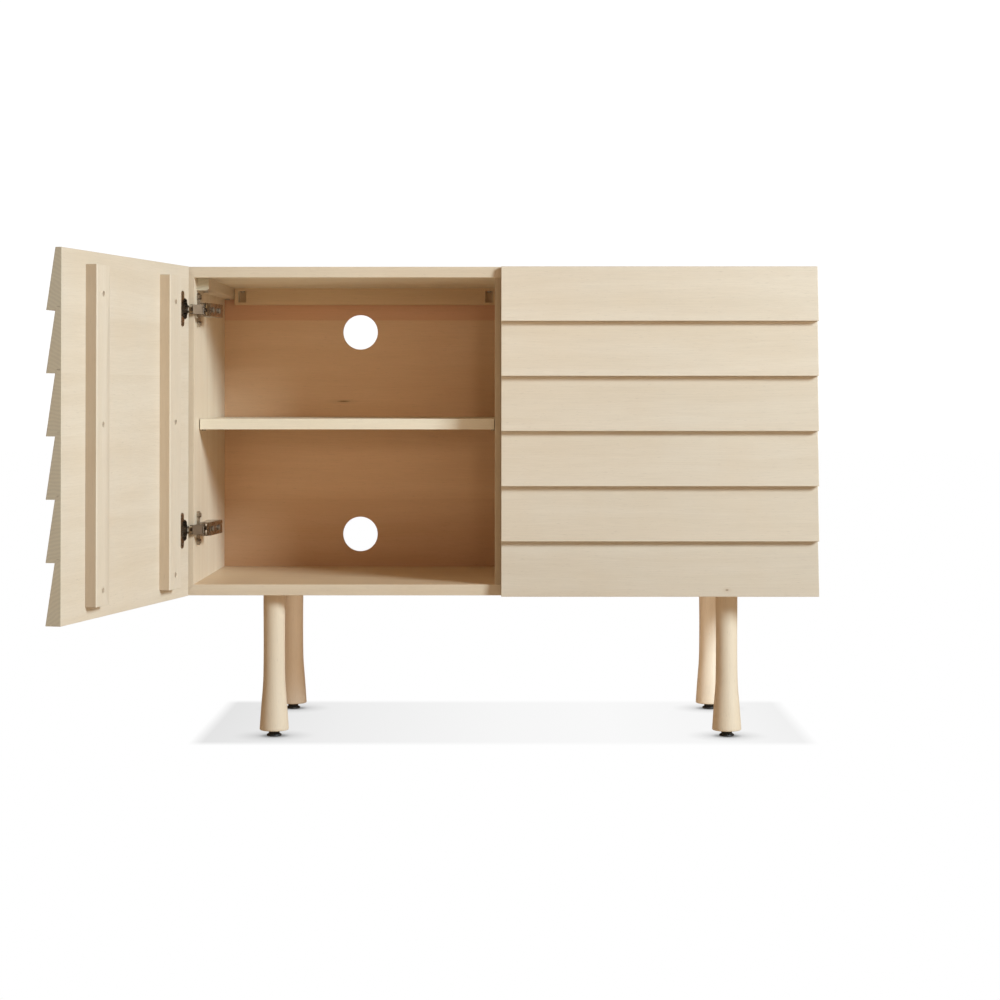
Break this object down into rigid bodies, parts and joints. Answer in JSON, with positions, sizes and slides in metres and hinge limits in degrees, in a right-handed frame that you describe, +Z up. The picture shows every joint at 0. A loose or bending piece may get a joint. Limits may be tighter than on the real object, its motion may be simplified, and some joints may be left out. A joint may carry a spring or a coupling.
{
  "type": "television console cabinet",
  "caption": "Two-door television console with lapped board doors, shelves, cable holes and turned legs on levelling feet.",
  "frame": {"origin": "on the floor, under the middle of the case's width and depth", "axes": "+Z up, -Y out of the doors, +X to the right when facing the doors"},
  "size_m": [1.1791, 0.9505, 0.785],
  "materials": {
    "maple": "pale maple, clear matt lacquer",
    "maple_panel": "maple-faced panel, clear matt lacquer",
    "nickel_steel": "nickel-plated pressed steel",
    "zinc_steel": "bright zinc-plated steel",
    "black_plastic": "black moulded nylon"
  },
  "bodies": {
    "cabinet": {"top_panel": "maple", "bottom_panel": "maple", "left_side_panel": "maple", "right_side_panel": "maple", "center_divider": "maple", "back_panel": "maple_panel", "left_side_cleat": "maple_panel", "right_side_cleat": "maple_panel", "left_rear_cleat": "maple_panel", "right_rear_cleat": "maple_panel", "shelf_pins": "nickel_steel", "cleat_screws": "zinc_steel", "back_panel_screws": "zinc_steel", "leg_front_left": "maple", "leg_front_right": "maple", "leg_rear_left": "maple", "leg_rear_right": "maple", "leg_hanger_bolts": "zinc_steel", "threaded_inserts": "zinc_steel", "hinge_plates": "nickel_steel", "hinge_arms": "nickel_steel", "hinge_plate_screws": "nickel_steel", "hinge_adjusting_screws": "zinc_steel", "hinge_pins": "nickel_steel"},
    "left_door": {"left_door_board_1": "maple", "left_door_board_2": "maple", "left_door_board_3": "maple", "left_door_board_4": "maple", "left_door_board_5": "maple", "left_door_board_6": "maple", "left_door_hinge_batten": "maple", "left_door_free_batten": "maple", "left_batten_screws": "nickel_steel", "left_hinge_cups": "nickel_steel", "left_hinge_cup_screws": "nickel_steel"},
    "right_door": {"right_door_board_1": "maple", "right_door_board_2": "maple", "right_door_board_3": "maple", "right_door_board_4": "maple", "right_door_board_5": "maple", "right_door_board_6": "maple", "right_door_hinge_batten": "maple", "right_door_free_batten": "maple", "right_batten_screws": "nickel_steel", "right_hinge_cups": "nickel_steel", "right_hinge_cup_screws": "nickel_steel"},
    "left_outer_links": {"left_hinge_outer_links": "nickel_steel"},
    "left_inner_links": {"left_hinge_inner_links": "nickel_steel"},
    "left_shelf": {"left_shelf": "maple"},
    "right_outer_links": {"right_hinge_outer_links": "nickel_steel"},
    "right_inner_links": {"right_hinge_inner_links": "nickel_steel"},
    "right_shelf": {"right_shelf": "maple"},
    "leveller_front_left": {"leveller_foot_front_left": "black_plastic", "leveller_stud_front_left": "zinc_steel"},
    "leveller_front_right": {"leveller_foot_front_right": "black_plastic", "leveller_stud_front_right": "zinc_steel"},
    "leveller_rear_left": {"leveller_foot_rear_left": "black_plastic", "leveller_stud_rear_left": "zinc_steel"},
    "leveller_rear_right": {"leveller_foot_rear_right": "black_plastic", "leveller_stud_rear_right": "zinc_steel"}
  },
  "joints": [
    {"name": "left_door_hinge", "type": "hinge", "parent": "cabinet", "child": "left_door", "pos_m": [-0.5237, -0.2239, 0.512], "axis": [0, 0, -1], "range_deg": [-102.3, 7.7]},
    {"name": "right_door_hinge", "type": "hinge", "parent": "cabinet", "child": "right_door", "pos_m": [0.5237, -0.2239, 0.512], "axis": [0, 0, 1], "range_deg": [0, 110]},
    {"name": "left_outer_link_pivot", "type": "hinge", "parent": "cabinet", "child": "left_outer_links", "pos_m": [-0.494, -0.2127, 0.512], "axis": [0, 0, -1], "range_deg": [-1, 9]},
    {"name": "left_inner_link_pivot", "type": "hinge", "parent": "cabinet", "child": "left_inner_links", "pos_m": [-0.492, -0.207, 0.512], "axis": [0, 0, -1], "range_deg": [-0.5, 2.5]},
    {"name": "right_outer_link_pivot", "type": "hinge", "parent": "cabinet", "child": "right_outer_links", "pos_m": [0.494, -0.2127, 0.512], "axis": [0, 0, 1], "range_deg": [-9, 0.5]},
    {"name": "right_inner_link_pivot", "type": "hinge", "parent": "cabinet", "child": "right_inner_links", "pos_m": [0.492, -0.207, 0.512], "axis": [0, 0, 1], "range_deg": [-2.5, 0.5]},
    {"name": "left_shelf_lift", "type": "slide", "parent": "cabinet", "child": "left_shelf", "axis": [0, 0, 1], "range_m": [0, 0.04]},
    {"name": "right_shelf_lift", "type": "slide", "parent": "cabinet", "child": "right_shelf", "axis": [0, 0, 1], "range_m": [0, 0.04]},
    {"name": "leveller_front_left_screw", "type": "slide", "parent": "cabinet", "child": "leveller_front_left", "axis": [0, 0, -1], "range_m": [0, 0.01]},
    {"name": "leveller_front_right_screw", "type": "slide", "parent": "cabinet", "child": "leveller_front_right", "axis": [0, 0, -1], "range_m": [0, 0.01]},
    {"name": "leveller_rear_left_screw", "type": "slide", "parent": "cabinet", "child": "leveller_rear_left", "axis": [0, 0, -1], "range_m": [0, 0.01]},
    {"name": "leveller_rear_right_screw", "type": "slide", "parent": "cabinet", "child": "leveller_rear_right", "axis": [0, 0, -1], "range_m": [0, 0.01]}
  ],
  "couplings": [
    {"joint": "left_outer_link_pivot", "follows": "left_door_hinge", "ratio": -0.078201},
    {"joint": "left_inner_link_pivot", "follows": "left_door_hinge", "ratio": -0.01955},
    {"joint": "right_outer_link_pivot", "follows": "right_door_hinge", "ratio": -0.078201},
    {"joint": "right_inner_link_pivot", "follows": "right_door_hinge", "ratio": -0.01955}
  ]
}
